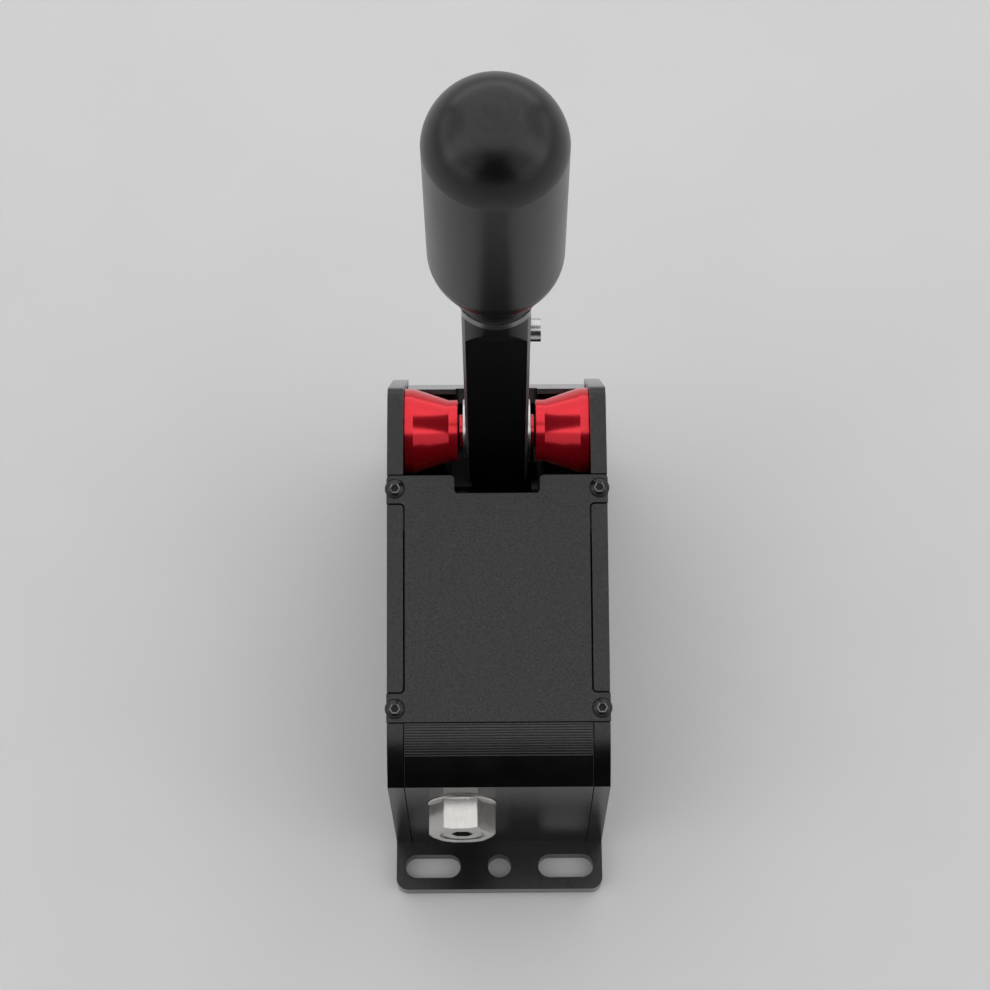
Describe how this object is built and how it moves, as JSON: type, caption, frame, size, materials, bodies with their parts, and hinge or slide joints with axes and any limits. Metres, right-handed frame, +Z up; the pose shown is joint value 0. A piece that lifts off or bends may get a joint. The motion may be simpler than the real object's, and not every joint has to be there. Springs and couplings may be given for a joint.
{
  "type": "sequential gear shifter",
  "caption": "Bolt-down sequential shifter: sprung fore-and-aft lever with a long round knob on red cone spacers, black box with sloped cover, hex preload adjuster and slotted base",
  "frame": {"origin": "middle of the base plate's underside", "axes": "+Z up along the lever, +X to the driver's right hand side of the part as seen from its front, -Y to the front wall with the adjuster"},
  "size_m": [0.0632, 0.158, 0.2579],
  "materials": {
    "black_anodised": "black anodised, fine bead-blasted satin",
    "black_anodised_lever": "black anodised, turned and milled satin",
    "red_anodised": "glossy red anodised",
    "black_steel": "black oxide",
    "bright_steel": "turned stainless steel",
    "spring_steel": "drawn spring wire",
    "bronze": "turned bronze",
    "rubber": "moulded rubber",
    "circuit_board": "black solder mask",
    "black_plastic": "moulded black plastic"
  },
  "bodies": {
    "frame": {"base_plate": "black_anodised", "left_side_plate": "black_anodised", "right_side_plate": "black_anodised", "nose_housing": "black_anodised", "top_cover": "black_anodised", "rear_cover": "black_anodised", "cover_screws": "black_steel", "side_screws": "black_steel", "base_screws": "black_steel", "pivot_axle": "bright_steel", "axle_screws": "black_steel", "left_pivot_cone": "red_anodised", "right_pivot_cone": "red_anodised", "guide_block": "black_anodised", "rod_bush": "bronze", "guide_rod": "bright_steel", "front_bump_stop": "rubber", "rear_bump_stop": "rubber", "sensor_board": "circuit_board", "board_standoffs": "bronze", "board_screws": "black_steel", "hall_sensor": "black_plastic", "data_socket": "black_plastic", "front_spring": "spring_steel", "rear_spring": "spring_steel"},
    "lever": {"lever_arm": "black_anodised_lever", "knob": "black_anodised_lever", "knob_stud": "bright_steel", "lever_side_screw": "bright_steel", "pivot_bearings": "bright_steel", "thrust_washers": "bright_steel", "link_pin": "black_steel", "link_clip": "black_steel", "magnet": "bright_steel"},
    "rod": {"centring_rod": "black_steel", "rod_collar": "black_steel"},
    "adjuster": {"adjuster": "bright_steel", "adjuster_lock_screw": "bright_steel"},
    "seat": {"spring_seat": "black_steel"}
  },
  "joints": [
    {"name": "lever_pivot", "type": "hinge", "parent": "frame", "child": "lever", "pos_m": [0, 0.0393, 0.079], "axis": [1, 0, 0], "range_deg": [-8, 8], "stiffness_Nm_per_rad": 30},
    {"name": "rod_slide", "type": "slide", "parent": "frame", "child": "rod", "axis": [0, 1, 0], "range_m": [-0.0039, 0.0039], "deforming": ["front_spring", "rear_spring"]},
    {"name": "adjuster_turn", "type": "hinge", "parent": "frame", "child": "adjuster", "pos_m": [-0.0105, -0.064, 0.0517], "axis": [0, 1, 0], "range_deg": [-720, 720]},
    {"name": "seat_slide", "type": "slide", "parent": "frame", "child": "seat", "axis": [0, 1, 0], "range_m": [-0.0031, 0.0031]}
  ],
  "couplings": [
    {"joint": "rod_slide", "follows": "lever_pivot", "m_per_rad": 0.0273},
    {"joint": "seat_slide", "follows": "adjuster_turn", "m_per_rad": -0.00023873}
  ]
}
